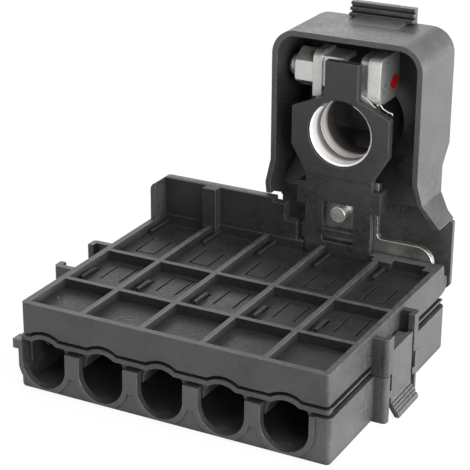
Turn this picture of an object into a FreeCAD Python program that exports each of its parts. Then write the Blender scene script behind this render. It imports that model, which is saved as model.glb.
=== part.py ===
import FreeCAD, Part
import os
import re
import Sketcher

# Five-way midi fuse block with a battery post clamp, standing on its lid as it is shown.
# X runs along the cable side, Y from the cable side to the clamp, Z up, millimetres throughout.
# The origin is the middle of the lid's underside. Depths are given from the base's front face,
# which every helper moves forward by half the depth of the base.

SIZES = {
    # the moulded base
    "pitch": 18.0,
    "side_margin": 0.3,
    "rear_margin": 16.5,
    "deck_room": 5.6,
    "corner_round": 1.0,
    "wall": 1.8,
    "rib": 1.5,
    "recess_depth": 3.0,
    "deck": 2.0,
    "row_one": 19.6,
    "row_two": 42.1,
    "back_wall": 3.0,
    "skirt_height": 8.8,
    # the lip that laps into the lid
    "lap_inset": 1.5,
    "lap_wall": 1.3,
    "lap_foot": 9.5,
    "flange_foot": 14.4,
    "flange_rise": 1.2,
    "flange_reach": 0.4,
    "flange_side_rise": 0.6,
    "flange_side_reach": 0.1,
    # cable ports
    "port_shift": -2.2,
    "port_axis": 9.4,
    "port_radius": 6.3,
    "port_wall": 1.2,
    "shadow_gap": 0.9,
    "sleeve_end": 6.5,
    # snap tongues cut in the deck over the studs
    "slit": 0.6,
    "tongue_width": 6.6,
    "tongue_length": 11.0,
    "front_tongue": 40.1,
    "rear_tongue": 50.7,
    "front_tongue_shift": 0.4,
    "rear_tongue_shift": -1.2,
    "rail": 0.9,
    "rail_rise": 1.4,
    "rail_length": 10.5,
    "rail_shift": 6.9,
    "short_rail": 6.5,
    "short_rail_start": 25.6,
    # raised wall behind the ribs
    "raised_rise": 11.8,
    "raised_end": -3.4,
    "raised_low_end": 0.5,
    "raised_low_rise": 5.6,
    "raised_step": 1.2,
    "raised_step_start": -7.0,
    "flank_depth": 8.6,
    "flank_round": 2.4,
    "pilaster_width": 4.4,
    "pilaster_depth": 2.7,
    "corner_width": 4.2,
    "corner_depth": 5.8,
    # the lid
    "lid_height": 13.2,
    "lid_reach": 0.9,
    "lid_wall": 1.5,
    "lid_floor": 1.5,
    "lid_corner": 2.6,
    "lid_foot_round": 0.9,
    "lid_front_round": 1.4,
    "collar_radius": 8.2,
    "collar_rise": 0.6,
    "cutout_radius": 6.8,
    "cutout_axis": 8.2,
    "finger_set": 0.2,
    "lug_reach": 1.7,
    "lug_size": 3.4,
    # side latches
    "latch_middle": 37.4,
    "right_reach": 4.6,
    "left_reach": 7.2,
    "latch_width": 13.4,
    "latch_slit": 0.4,
    "jamb": 3.7,
    "jamb_wall": 1.8,
    "jamb_lip": 1.8,
    "jamb_round": 1.2,
    "jamb_top": 24.2,
    "jamb_hole": 1.6,
    "latch_wall": 1.2,
    "latch_set": 0.3,
    "latch_top": 19.6,
    "latch_foot": 0.5,
    "grip_top": 5.0,
    "grip_reach": 2.4,
    "grip_drop": 0.9,
    "grip_groove": 0.28,
    "web_foot": 6.6,
    "web_top": 8.5,
    "pivot_radius": 0.5,
    "pivot_fit": 0.05,
    "pivot_length": 1.5,
    "hook_clear": 0.3,
    "hook_side": 1.5,
    "hook_height": 1.4,
    # studs, nuts and fuses
    "fuse_shift": 0.2,
    "stud_spacing": 30.0,
    "output_row": 30.5,
    "seat_height": 14.6,
    "stud_radius": 2.5,
    "stud_foot": 6.4,
    "stud_head_radius": 4.4,
    "stud_head_height": 1.5,
    "stud_nut_flats": 8.0,
    "stud_nut_height": 4.4,
    "nut_flange_radius": 5.4,
    "nut_flange_height": 1.0,
    "pedestal": 5.8,
    "partition": 1.2,
    "blade": 0.9,
    "fuse_overrun": 11.0,
    "fuse_width": 12.0,
    "fuse_hole_radius": 2.7,
    "link_width": 4.0,
    "housing_length": 18.0,
    "case_margin": 0.2,
    "housing_height": 10.4,
    "housing_round": 1.0,
    "window_size": 6.0,
    "window_depth": 0.8,
    # busbar
    "bar_thick": 2.0,
    "bar_gap": 0.3,
    "bar_left": -5.2,
    "bar_right": 41.6,
    "bar_shoulder": 29.2,
    "bar_shoulder_round": 5.0,
    "bar_bend": 1.5,
    "tray_left": -42.0,
    "tray_right": 41.6,
    # battery clamp
    "clamp_x": 13.1,
    "clamp_z": 59.6,
    "bore_radius": 9.1,
    "bore_chamfer": 0.35,
    "ring_wall": 3.4,
    "ring_depth": 14.2,
    "ring_lip": 2.0,
    "ring_lip_wall": 0.55,
    "groove_start": 4.1,
    "groove_width": 2.4,
    "groove_depth": 1.1,
    "foot_width": 17.0,
    "foot_plate": 2.4,
    "foot_end": 31.0,
    "neck_half": 11.4,
    "neck_top": 46.0,
    "ear": 2.8,
    "ear_left": 2.0,
    "ear_right": 16.6,
    "ear_top": 81.2,
    "ear_foot": 66.4,
    "ear_start": 2.2,
    "ear_depth": 10.4,
    "saddle": 1.5,
    "saddle_run": 6.2,
    "saddle_set": 0.6,
    "saddle_drop": 1.2,
    "bolt_z": 74.9,
    "bolt_radius": 3.0,
    "bolt_hole_radius": 3.3,
    "bolt_tip": -6.6,
    "bolt_flats": 10.0,
    "bolt_chamfer": 0.7,
    "head_size": 13.4,
    "head_round": 2.4,
    "head_height": 4.0,
    "head_fit": 0.15,
    "clamp_nut_height": 5.8,
    "nut_corner": 5.4,
    "thread_fit": 0.08,
    "rivet_z": 35.2,
    "rivet_radius": 2.3,
    "rivet_head_radius": 3.4,
    "rivet_head_height": 1.2,
    "rivet_proud": 2.6,
    # insulator plate in front of the clamp
    "plate": 2.6,
    "plate_seat": 21.4,
    "plate_half": 14.9,
    "plate_neck_half": 10.3,
    "plate_side_top": 6.3,
    "plate_side_low": 5.0,
    "plate_low": 12.7,
    "plate_tab_half": 5.0,
    "plate_tab_top": 80.4,
    "plate_shoulder": 70.0,
    "plate_bore_radius": 9.85,
    "plate_crease": 46.5,
    "plate_neck_set": 0.4,
    "plate_window_width": 9.6,
    "plate_window_height": 8.4,
    "plate_window_z": 34.4,
    "plate_slot_height": 2.0,
    "plate_slot_z": 27.4,
    "plate_hook_reach": 2.4,
    "plate_hook_foot": 37.2,
    "plate_hook_rise": 6.4,
    # terminal cover
    "cover_wall": 1.6,
    "cover_left": -9.2,
    "cover_right": 36.5,
    "cover_top": 87.2,
    "cover_corner": 7.2,
    "cover_depth": 24.0,
    "cover_rim_set": 1.0,
    "cover_slope_top": 53.5,
    "cover_slope_foot": 38.0,
    "cover_back_gap": 8.3,
    "cover_flare_top": 48.0,
    "cover_flare_foot": 36.0,
    "cover_left_waist": 40.8,
    "cover_left_foot": 33.8,
    "cover_left_rim": 37.5,
    "cover_left_end": 34.6,
    "cover_flare_right": 7.3,
    "cover_flare_left": 1.6,
    "cover_tail_foot": 12.3,
    "cover_tail_left": -9.6,
    "cover_tail_right": 44.3,
    "cover_tail_cut": 3.4,
    "grip_left": 5.2,
    "grip_right": 24.8,
    "grip_rise": 4.6,
    "grip_wall": 1.6,
    "grip_rib": 0.7,
    "ramp_length": 7.5,
    "ramp_inset": 2.2,
    "ramp_rise": 1.2,
    # hinge of the terminal cover
    "hinge_back": 5.0,
    "hinge_z": 17.2,
    "hinge_pin_radius": 1.3,
    "hinge_fit": 0.06,
    "hinge_ear": 1.8,
    "hinge_lug": 2.4,
    "hinge_lug_radius": 2.6,
    "hinge_side_gap": 0.3,
    "hinge_ear_rise": 5.0,
    # clearance between seated pieces, how far joined pieces run into each other, how far cuts run past
    "seat_gap": 0.3,
    "bite": 0.5,
    "past": 1.0,
}

COLUMNS = 5
SHEET = "Sizes"

# Sizes that follow from others, used by name like the ones above.
DERIVED = {
    "half_width": "pitch * 5 / 2 + side_margin",
    "block_depth": "output_row + stud_spacing + rear_margin",
    "block_height": "seat_height + deck_room + deck + recess_depth",
    "hinge_y": "output_row + stud_spacing + rear_margin + hinge_back",
    "fuse_length": "stud_spacing + fuse_overrun",
    "finger_top": "lid_height - finger_set",
}
HALF_WIDTH = SIZES["pitch"] * COLUMNS / 2 + SIZES["side_margin"]
BLOCK_DEPTH = SIZES["output_row"] + SIZES["stud_spacing"] + SIZES["rear_margin"]
BLOCK_HEIGHT = SIZES["seat_height"] + SIZES["deck_room"] + SIZES["deck"] + SIZES["recess_depth"]

doc = FreeCAD.newDocument("midi_fuse_block")
sheet = doc.addObject("Spreadsheet::Sheet", SHEET)
for line, (alias, number) in enumerate(SIZES.items(), start=1):
    sheet.set("A%d" % line, alias)
    sheet.set("B%d" % line, str(number))
    sheet.setAlias("B%d" % line, alias)
doc.recompute()

WORD = re.compile(r"[a-z][a-z0-9_]*")


def cell(match):
    word = match.group(0)
    if word in DERIVED:
        return "(%s)" % cells(DERIVED[word])
    return SHEET + "." + word if word in SIZES else word


def cells(text):
    """An expression on the size names, written as one on the sheet's cells."""
    return WORD.sub(cell, str(text))


def bind(thing, **texts):
    for prop, text in texts.items():
        thing.setExpression(prop.replace("__", "."), cells(text))
    return thing


def place(thing, corner):
    for axis, text in zip("xyz", corner):
        thing.setExpression("Placement.Base." + axis, cells(text))
    return thing


def forward(depth):
    """A depth from the base's front face, as a place along Y."""
    return "(%s) - block_depth / 2" % depth


def box(name, x, y, z):
    """A block given by its start and end along each axis."""
    block = doc.addObject("Part::Box", name)
    for prop, (start, end) in zip(("Length", "Width", "Height"), (x, y, z)):
        block.setExpression(prop, cells("(%s) - (%s)" % (end, start)))
    return place(block, (x[0], forward(y[0]), z[0]))


TURNS = {
    "x": FreeCAD.Rotation(FreeCAD.Vector(0, 1, 0), 90),
    "y": FreeCAD.Rotation(FreeCAD.Vector(1, 0, 0), -90),
    "z": FreeCAD.Rotation(),
}


def rod(name, axis, centre, radius, length):
    """A cylinder that starts at its centre point and runs along an axis."""
    cylinder = doc.addObject("Part::Cylinder", name)
    cylinder.Placement = FreeCAD.Placement(FreeCAD.Vector(), TURNS[axis])
    bind(cylinder, Radius=radius, Height=length)
    return place(cylinder, (centre[0], forward(centre[1]), centre[2]))


def cone(name, axis, centre, start_radius, end_radius, length):
    tapered = doc.addObject("Part::Cone", name)
    tapered.Placement = FreeCAD.Placement(FreeCAD.Vector(), TURNS[axis])
    bind(tapered, Radius1=start_radius, Radius2=end_radius, Height=length)
    return place(tapered, (centre[0], forward(centre[1]), centre[2]))


def hexagon(name, axis, centre, flats, length):
    prism = doc.addObject("Part::Prism", name)
    prism.Polygon = 6
    prism.Placement = FreeCAD.Placement(FreeCAD.Vector(), TURNS[axis])
    bind(prism, Circumradius="(%s) / sqrt(3)" % flats, Height=length)
    return place(prism, (centre[0], forward(centre[1]), centre[2]))


def join(name, things):
    fusion = doc.addObject("Part::MultiFuse", name)
    fusion.Shapes = things
    return fusion


def group(name, things):
    compound = doc.addObject("Part::Compound", name)
    compound.Links = things
    return compound


def cut(name, solid, tools):
    difference = doc.addObject("Part::Cut", name)
    difference.Base = solid
    difference.Tool = tools[0] if len(tools) == 1 else join(name + "_tools", tools)
    return difference


def common(name, first, second):
    overlap = doc.addObject("Part::Common", name)
    overlap.Base = first
    overlap.Tool = second
    return overlap


PLANES = {
    # sketch plane: its turn, and the way that the outline is drawn out
    "front": (FreeCAD.Rotation(FreeCAD.Vector(1, 0, 0), 90), FreeCAD.Vector(0, 1, 0)),
    "side": (FreeCAD.Rotation(FreeCAD.Vector(1, 1, 1), 120), FreeCAD.Vector(1, 0, 0)),
    "flat": (FreeCAD.Rotation(), FreeCAD.Vector(0, 0, 1)),
}


def outline(name, plane, points, start, length):
    """A closed straight-sided outline drawn out from a plane, each corner bound to the sizes."""
    turn, way = PLANES[plane]
    sketch = doc.addObject("Sketcher::SketchObject", name + "_outline")
    sketch.Placement = FreeCAD.Placement(FreeCAD.Vector(), turn)
    count = len(points)
    ring = [FreeCAD.Rotation(FreeCAD.Vector(0, 0, 1), 360.0 * i / count) for i in range(count)]
    spots = [turned.multVec(FreeCAD.Vector(50, 0, 0)) for turned in ring]
    for i in range(count):
        sketch.addGeometry(Part.LineSegment(spots[i], spots[(i + 1) % count]), False)
    for i in range(count):
        sketch.addConstraint(Sketcher.Constraint("Coincident", i, 2, (i + 1) % count, 1))
    for i, (across, up) in enumerate(points):
        across = forward(across) if plane == "side" else across
        up = forward(up) if plane == "flat" else up
        for kind, text in (("DistanceX", across), ("DistanceY", up)):
            index = sketch.addConstraint(Sketcher.Constraint(kind, -1, 1, i, 1, 10.0))
            sketch.setExpression("Constraints[%d]" % index, cells(text))
    start_axis = {"front": "y", "side": "x", "flat": "z"}[plane]
    start = forward(start) if plane == "front" else start
    sketch.setExpression("Placement.Base." + start_axis, cells(start))
    drawn = doc.addObject("Part::Extrusion", name)
    drawn.Base = sketch
    drawn.DirMode = "Custom"
    drawn.Dir = way
    drawn.Solid = True
    bind(drawn, LengthFwd=length)
    return drawn


def rounded(name, solid, radius, chosen):
    """Rounds the straight edges that the test picks by their middle and direction."""
    doc.recompute()
    fillet = doc.addObject("Part::Fillet", name)
    fillet.Base = solid
    picked = []
    for number, edge in enumerate(solid.Shape.Edges, start=1):
        if edge.Curve.TypeId != "Part::GeomLine":
            continue
        middle = edge.valueAt((edge.FirstParameter + edge.LastParameter) / 2)
        middle.y += BLOCK_DEPTH / 2
        if chosen(middle, edge.tangentAt(edge.FirstParameter)):
            picked.append((number, radius, radius))
    if not picked:
        raise RuntimeError(name + ": no edge to round")
    fillet.Edges = picked
    return fillet


def near(value, target):
    return abs(value - target) < 0.01


HALF = "half_width"
SKIRT_FOOT = "block_height - skirt_height"
DECK_TOP = "block_height - recess_depth"
DECK_FOOT = "block_height - recess_depth - deck"
BACK = "block_depth"
BACK_FACE = "block_depth - back_wall"
BAR_FACE = "block_depth + bar_gap"
RING_FRONT = "block_depth - ring_lip"
HEAD_FACE = "ear_right + ear"
TRAY_FRONT = "output_row + stud_spacing / 2 + housing_length / 2 + seat_gap"


def column(index):
    """Middle of a rib column."""
    return "pitch * %g" % (index - (COLUMNS - 1) / 2)


def port(index):
    """Middle of a cable port."""
    return "pitch * %g + port_shift" % (index - (COLUMNS - 1) / 2)


def seat(index):
    """Middle of a fuse and of its two studs."""
    return "pitch * %g + fuse_shift" % (index - (COLUMNS - 1) / 2)


def cell_sides(index):
    left = "-half_width + wall" if index == 0 else column(index) + " - pitch / 2 + rib / 2"
    right = "half_width - wall" if index == COLUMNS - 1 else column(index) + " + pitch / 2 - rib / 2"
    return left, right


def base_recesses():
    rows = (
        ("wall", "row_one - rib / 2"),
        ("row_one + rib / 2", "row_two - rib / 2"),
        ("row_two + rib / 2", BACK_FACE),
    )
    tools = []
    for i in range(COLUMNS):
        for j, span in enumerate(rows):
            name = "recess_%d_%d" % (i + 1, j + 1)
            tools.append(box(name, cell_sides(i), span, (DECK_TOP, "block_height + past")))
    return tools


def tongue_slits(name, middle, closed_end, way):
    """U-shaped slit through the deck that frees a snap tongue, rooted at its open end."""
    left = middle + " - tongue_width / 2"
    right = middle + " + tongue_width / 2"
    deep = (DECK_FOOT + " - past", DECK_TOP + " + past")
    if way > 0:
        arm = ("(%s) - tongue_length" % closed_end, closed_end)
        end = ("(%s) - slit" % closed_end, closed_end)
    else:
        arm = (closed_end, "(%s) + tongue_length" % closed_end)
        end = (closed_end, "(%s) + slit" % closed_end)
    return [
        box(name + "_left", (left, left + " + slit"), arm, deep),
        box(name + "_right", (right + " - slit", right), arm, deep),
        box(name + "_end", (left, right), end, deep),
    ]


def base_slits():
    tools = []
    for i in range(COLUMNS):
        front = column(i) + " + front_tongue_shift"
        rear = column(i) + " + rear_tongue_shift"
        tools += tongue_slits("front_slit_%d" % (i + 1), front, "front_tongue", 1)
        tools += tongue_slits("rear_slit_%d" % (i + 1), rear, "rear_tongue", -1)
        side = column(i) + " - rail_shift"
        tools.append(box("drain_%d" % (i + 1), (side, side + " + rail"),
                         ("front_tongue - tongue_length + slit", "front_tongue - tongue_length / 2"),
                         (DECK_FOOT + " - past", DECK_TOP + " + past")))
    return tools


def base_rails():
    """Low bars on the cell floors: a short one in the middle row, two long ones in the back row."""
    rails = []
    high = (DECK_TOP + " - bite", DECK_TOP + " + rail_rise")
    short = ("short_rail_start", "short_rail_start + short_rail")
    long = (BACK_FACE + " - rail_length", BACK_FACE + " + bite")
    for i in range(COLUMNS):
        side = column(i) + " - rail_shift"
        far = column(i) + " + rail_shift - rail"
        rails.append(box("short_rail_%d" % (i + 1), (side, side + " + rail"), short, high))
        rails.append(box("left_rail_%d" % (i + 1), (side, side + " + rail"), long, high))
        rails.append(box("right_rail_%d" % (i + 1), (far, far + " + rail"), long, high))
    return rails


def side_words(side):
    """Name, sign and reach of the latch on one side."""
    if side > 0:
        return "right", "", "right_reach"
    return "left", "-", "left_reach"


def across(side, near_x, far_x):
    """A span along X given outwards from the middle of the part."""
    if side > 0:
        return near_x, far_x
    return "-(%s)" % far_x, "-(%s)" % near_x


def jamb_posts(side, owner, wall_x, height):
    """Two posts beside one latch, each with a lip turned towards the latch at its outer end."""
    word, _, reach = side_words(side)
    end_x = "half_width + " + reach
    end = side * (HALF_WIDTH + SIZES[reach])
    posts = []
    for number, way in ((1, -1), (2, 1)):
        inner = "latch_middle + %d * (latch_width / 2 + latch_slit)" % way
        outer = inner + " + %d * jamb" % way
        pocket = inner + " + %d * (jamb - jamb_wall)" % way
        name = "%s_%s_jamb_%d" % (owner, word, number)
        span = (outer, inner) if way < 0 else (inner, outer)
        gap = (pocket, inner + " + past") if way < 0 else (inner + " - past", pocket)
        post = box(name + "_block", across(side, wall_x, end_x), span, height)
        edge = SIZES["latch_middle"] + way * (SIZES["latch_width"] / 2 + SIZES["latch_slit"] + SIZES["jamb"])
        post = rounded(name + "_rounded", post, SIZES["jamb_round"],
                       lambda m, t: near(abs(t.z), 1) and near(m.x, end) and near(m.y, edge))
        room = box(name + "_pocket", across(side, "half_width - wall", end_x + " - jamb_lip"), gap,
                   ("-past", "block_height"))
        posts.append(cut(name, post, [room]))
    return posts


def jamb_holes(side):
    """Slots in the lid's lips above and below the latch's pins."""
    word, _, reach = side_words(side)
    holes = []
    for number, way in ((1, -1), (2, 1)):
        inner = "latch_middle + %d * (latch_width / 2 + latch_slit)" % way
        deep = inner + " + %d * jamb_hole" % way
        span = (deep, inner) if way < 0 else (inner, deep)
        for level, height in (("low", ("-past", "web_foot")), ("high", ("web_top", "lid_height + past"))):
            deep_x = across(side, "half_width + lid_reach", "half_width + " + reach + " + past")
            holes.append(box("%s_jamb_%s_hole_%d" % (word, level, number), deep_x, span, height))
    return holes


def base_jambs(side):
    """Channel for one side latch, open at the top, above the lid's own posts."""
    return jamb_posts(side, "base", "half_width - wall / 2", ("lid_height + seat_gap", "jamb_top"))


def hinge_ears():
    """Two ears behind the base with a moulded pin each, one at either end of the busbar."""
    parts = []
    spans = (
        ("left", "bar_left - bar_gap - hinge_ear", 1),
        ("right", "bar_right + bar_gap", -1),
    )
    for word, start, way in spans:
        end = "(%s) + hinge_ear" % start
        web = box("hinge_%s_web" % word, (start, end), (BACK + " - bite", "hinge_y"),
                  ("hinge_z - hinge_lug_radius", "hinge_z + hinge_ear_rise"))
        eye = rod("hinge_%s_eye" % word, "x", (start, "hinge_y", "hinge_z"), "hinge_lug_radius", "hinge_ear")
        pin_start = start if way > 0 else "(%s) - hinge_lug - hinge_side_gap" % start
        pin = rod("hinge_%s_pin" % word, "x", (pin_start, "hinge_y", "hinge_z"), "hinge_pin_radius",
                  "hinge_ear + hinge_lug + hinge_side_gap")
        parts += [web, eye, pin]
    return parts


def fuse_base():
    """Moulded base: ribbed underside up, open towards the lid, with the raised rear wall."""
    shell = box("base_block", ("-" + HALF, HALF), (0, BACK), (SKIRT_FOOT, "block_height"))
    room = box("base_room", ("-half_width + wall", "half_width - wall"), ("wall", BACK_FACE),
               (SKIRT_FOOT + " - past", DECK_FOOT))
    waves = [rod("wave_%d" % (i + 1), "y", (port(i), -1, "port_axis"),
                 "port_radius + port_wall + shadow_gap", "1 + lap_inset") for i in range(COLUMNS)]
    shell = rounded("base_corners", shell, SIZES["corner_round"],
                    lambda m, t: near(abs(t.z), 1) and near(m.y, 0))
    walls = cut("base_walls", shell, [room] + waves + base_recesses())

    lap_out = box("lap_outside", ("-half_width + lap_inset", "half_width - lap_inset"),
                  ("lap_inset", "block_depth - lap_inset"), ("lap_foot", DECK_FOOT + " + bite"))
    lap_in = box("lap_inside",
                 ("-half_width + lap_inset + lap_wall", "half_width - lap_inset - lap_wall"),
                 ("lap_inset + lap_wall", BACK_FACE), ("lap_foot - past", DECK_FOOT))
    lap = cut("lap_wall_ring", lap_out, [lap_in])

    front_flange = box("flange_front", ("-half_width - flange_reach", "half_width + flange_reach"),
                       ("-flange_reach", "lap_inset + bite"), ("flange_foot", "flange_foot + flange_rise"))
    front_flange = rounded("flange_front_rounded", front_flange, SIZES["corner_round"],
                           lambda m, t: near(abs(t.z), 1) and m.y < 0)
    flange_out = box("flange_outside", ("-half_width - flange_side_reach", "half_width + flange_side_reach"),
                     ("lap_inset", BACK), ("flange_foot", "flange_foot + flange_side_rise"))
    flange_in = box("flange_inside", ("-half_width + lap_inset + 0.1", "half_width - lap_inset - 0.1"),
                    ("lap_inset + 0.1", BACK_FACE),
                    ("flange_foot - past", "flange_foot + flange_rise + past"))
    flange = join("flange", [cut("flange_ring", flange_out, [flange_in]), front_flange])

    arches = []
    for i in range(COLUMNS):
        tube = rod("sleeve_%d" % (i + 1), "y", (port(i), "-flange_reach", "port_axis"),
                   "port_radius + port_wall", "sleeve_end + flange_reach")
        arches.append(tube)
    wide = ("-2 * half_width", "2 * half_width")
    deep = ("-port_radius", "sleeve_end + port_radius")
    below = box("sleeve_trim", wide, deep, ("-port_radius", "lap_foot"))
    front = box("sleeve_front_trim", wide, ("-port_radius", "lap_inset"), ("-port_radius", "flange_foot"))
    ends = []
    for word, side in (("left", -1), ("right", 1)):
        span = across(side, "half_width - lap_inset", "2 * half_width")
        ends.append(box("sleeve_end_%s" % word, span, deep, ("-port_radius", "block_height")))
    sleeves = cut("sleeves", join("sleeve_tubes", arches), [below, front] + ends)

    raised = box("raised_wall", ("-" + HALF, "raised_end"), (BACK_FACE, BACK),
                 ("block_height - past", "block_height + raised_rise"))
    low = box("raised_low", ("raised_end - past", "raised_low_end"), (BACK_FACE, BACK),
              ("block_height - past", "block_height + raised_low_rise"))
    flank = box("raised_flank", ("-" + HALF, "-half_width + wall"), ("block_depth - flank_depth", BACK),
                ("block_height - past", "block_height + raised_rise"))
    tall = join("raised_walls", [raised, flank])
    step = box("raised_step_cut", ("raised_step_start", "raised_end + past"), (0, "block_depth + past"),
               ("block_height + raised_rise - raised_step", "block_height + raised_rise + past"))
    tall = cut("raised_stepped", tall, [step])
    top = BLOCK_HEIGHT + SIZES["raised_rise"]
    left = -HALF_WIDTH
    tall = rounded("raised_rounded", tall, SIZES["flank_round"],
                   lambda m, t: near(abs(t.y), 1) and near(m.z, top) and near(m.x, left))
    pilaster = box("pilaster", (column(0) + " + pitch / 2 - pilaster_width / 2",
                                column(0) + " + pitch / 2 + pilaster_width / 2"),
                   ("block_depth - back_wall - pilaster_depth", BACK_FACE + " + bite"),
                   (DECK_TOP, "block_height + raised_rise"))
    post = box("rear_post", (column(3) + " + pitch / 2 - rib", column(3) + " + pitch / 2 + pilaster_width"),
               ("block_depth - back_wall - pilaster_depth", BACK_FACE + " + bite"),
               (DECK_TOP, "block_height"))
    corner = box("rear_corner", ("half_width - corner_width", HALF),
                 ("block_depth - corner_depth", BACK), (DECK_TOP, "block_height"))

    seats = []
    for i in range(COLUMNS):
        middle = seat(i)
        wide = (middle + " - pedestal", middle + " + pedestal")
        deep = "(stud_spacing / 2 - housing_length / 2 - seat_gap)"
        for word, row, foot in (("output", "output_row", "seat_height"),
                                ("input", "(output_row + stud_spacing)", "seat_height + bar_thick")):
            seats.append(box("%s_seat_%d" % (word, i + 1), wide, (row + " - " + deep, row + " + " + deep),
                             (foot, DECK_FOOT + " + bite")))
    for i in range(COLUMNS - 1):
        middle = column(i) + " + pitch / 2"
        seats.append(box("partition_%d" % (i + 1), (middle + " - partition / 2", middle + " + partition / 2"),
                         ("sleeve_end - 2 * past", TRAY_FRONT + " - seat_gap"),
                         ("lap_foot", DECK_FOOT + " + bite")))

    body = join("base_body", [walls, lap, flange, sleeves, tall, low, pilaster, post, corner] + seats
                + base_rails() + base_jambs(1) + base_jambs(-1) + hinge_ears())

    tools = base_slits()
    for i in range(COLUMNS):
        middle = port(i)
        tools.append(rod("port_bore_%d" % (i + 1), "y", (middle, -2, "port_axis"), "port_radius",
                         "sleeve_end + 4"))
        tools.append(box("port_way_%d" % (i + 1), (middle + " - port_radius", middle + " + port_radius"),
                         (-2, "sleeve_end + 2 * past"), (0, "port_axis")))
        for word, row, face in (("output", "output_row", "seat_height"),
                                ("input", "output_row + stud_spacing", "seat_height + bar_thick")):
            tools.append(rod("%s_socket_%d" % (word, i + 1), "z", (seat(i), row, "(%s) - past" % face),
                             "stud_head_radius", "stud_head_height + past"))
    tools.append(box("bar_way", ("bar_left - seat_gap", "bar_right + seat_gap"),
                     ("block_depth - back_wall - 5", "block_depth + past"),
                     ("seat_height - seat_gap", "seat_height + bar_thick + seat_gap")))
    tools.append(box("plate_notch", ("clamp_x - plate_neck_half - seat_gap",
                                     "clamp_x + plate_neck_half + seat_gap"),
                     (BACK_FACE, "block_depth + past"), ("plate_seat", "block_height + raised_rise + past")))
    return cut("fuse_base", body, tools)


def lid():
    """Moulded lid: a tray with five U-shaped cable cut-outs in raised collars, and side posts."""
    out_x = "half_width + lid_reach"
    outside = box("lid_outside", ("-(%s)" % out_x, out_x),
                  ("collar_rise - lid_reach", "block_depth + lid_reach"), (0, "lid_height"))
    outside = rounded("lid_corners", outside, SIZES["lid_corner"],
                      lambda m, t: near(abs(t.z), 1) and m.y > BLOCK_DEPTH / 2)
    outside = rounded("lid_front_corners", outside, SIZES["lid_front_round"],
                      lambda m, t: near(abs(t.z), 1) and m.y < BLOCK_DEPTH / 2)
    outside = rounded("lid_edges", outside, SIZES["lid_foot_round"], lambda m, t: near(m.z, 0))
    raised = [box("lid_end_left", (port(0) + " - collar_radius", port(0)), ("-lid_reach", "lid_wall"),
                  ("cutout_axis", "lid_height")),
              box("lid_end_right", (port(COLUMNS - 1), port(COLUMNS - 1) + " + collar_radius"),
                  ("-lid_reach", "lid_wall"), ("cutout_axis", "lid_height"))]
    for i in range(COLUMNS):
        raised.append(rod("collar_%d" % (i + 1), "y", (port(i), "-lid_reach", "cutout_axis"),
                          "collar_radius", "lid_wall"))
    for i in range(COLUMNS - 1):
        middle = port(i) + " + pitch / 2"
        raised.append(box("finger_%d" % (i + 1), (middle + " - pitch / 2 + cutout_radius",
                                                  middle + " + pitch / 2 - cutout_radius"),
                          ("-lid_reach", "lid_wall"), ("cutout_axis - 2 * past", "finger_top")))
    trim = box("collar_trim", ("-(%s)" % out_x, out_x), ("-lid_reach", "lid_wall + past"),
               ("lid_foot_round", "lid_height"))
    front = common("lid_front", join("lid_front_parts", raised), trim)
    lug = box("lid_lug", ("-(%s) - lug_reach" % out_x, "-(%s) + past" % out_x),
              ("-lid_reach", "lug_size - lid_reach"), ("lid_height - lug_size / 2", "lid_height + past"))
    posts = []
    for side in (1, -1):
        posts += jamb_posts(side, "lid", "half_width + lid_reach - lid_wall / 2", (0, "lid_height"))
    solid = join("lid_solid", [outside, front, lug] + posts)

    in_x = "half_width + lid_reach - lid_wall"
    tools = [box("lid_room", ("-(%s)" % in_x, in_x),
                 ("collar_rise - lid_reach + lid_wall", "block_depth + lid_reach - lid_wall"),
                 ("lid_floor", "lid_height + 2 * past"))]
    for i in range(COLUMNS):
        tools.append(rod("cutout_%d" % (i + 1), "y", (port(i), "-lid_reach - past", "cutout_axis"),
                         "cutout_radius", "lid_reach + lid_wall + 3 * past"))
        way = (port(i) + " - cutout_radius", port(i) + " + cutout_radius")
        tools.append(box("cutout_way_%d" % (i + 1), way, ("-lid_reach - past", "lid_wall + 2 * past"),
                         ("cutout_axis", "lid_height + 3 * past")))
    tools.append(box("finger_trim", (port(0), port(COLUMNS - 1)), ("-lid_reach - past", "lid_wall + past"),
                     ("finger_top", "lid_height + past")))
    tools.append(box("bar_clear", ("bar_left - bar_gap - hinge_ear - seat_gap",
                                   "bar_right + bar_gap + hinge_ear + seat_gap"),
                     ("block_depth - lap_inset", "block_depth + lid_reach + past"),
                     ("lid_height - past", "lid_height + past")))
    for side in (1, -1):
        tools.append(latch_pin(side, "lid", "pivot_fit"))
        tools += jamb_holes(side)
    return cut("lid", solid, tools)


def latch_pin(side, owner, fit):
    """Round ends of a latch, the line that it turns about."""
    word, sign, reach = side_words(side)
    half = "(latch_width / 2 + latch_slit + pivot_length + 3 * (%s))" % fit
    centre = ("%s(half_width + %s - latch_set - latch_wall / 2)" % (sign, reach),
              "latch_middle - " + half, "(web_foot + web_top) / 2")
    return rod("%s_%s_pivot" % (owner, word), "y", centre, "pivot_radius + " + fit, "2 * " + half)


def grip_grooves(side, outer, length):
    """Four grooves across the sloped face of the grip."""
    word, sign, reach = side_words(side)
    grooves = []
    for i in range(4):
        part = (i + 0.6) / 4.6
        x = "%s(%s + %g * grip_reach)" % (sign, outer, part)
        z = "grip_top - %g * (grip_top - latch_foot - grip_drop)" % part
        start = "latch_middle - %s / 2 - past" % length
        grooves.append(rod("%s_groove_%d" % (word, i + 1), "y", (x, start, z), "grip_groove",
                           length + " + 2 * past"))
    return grooves


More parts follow.
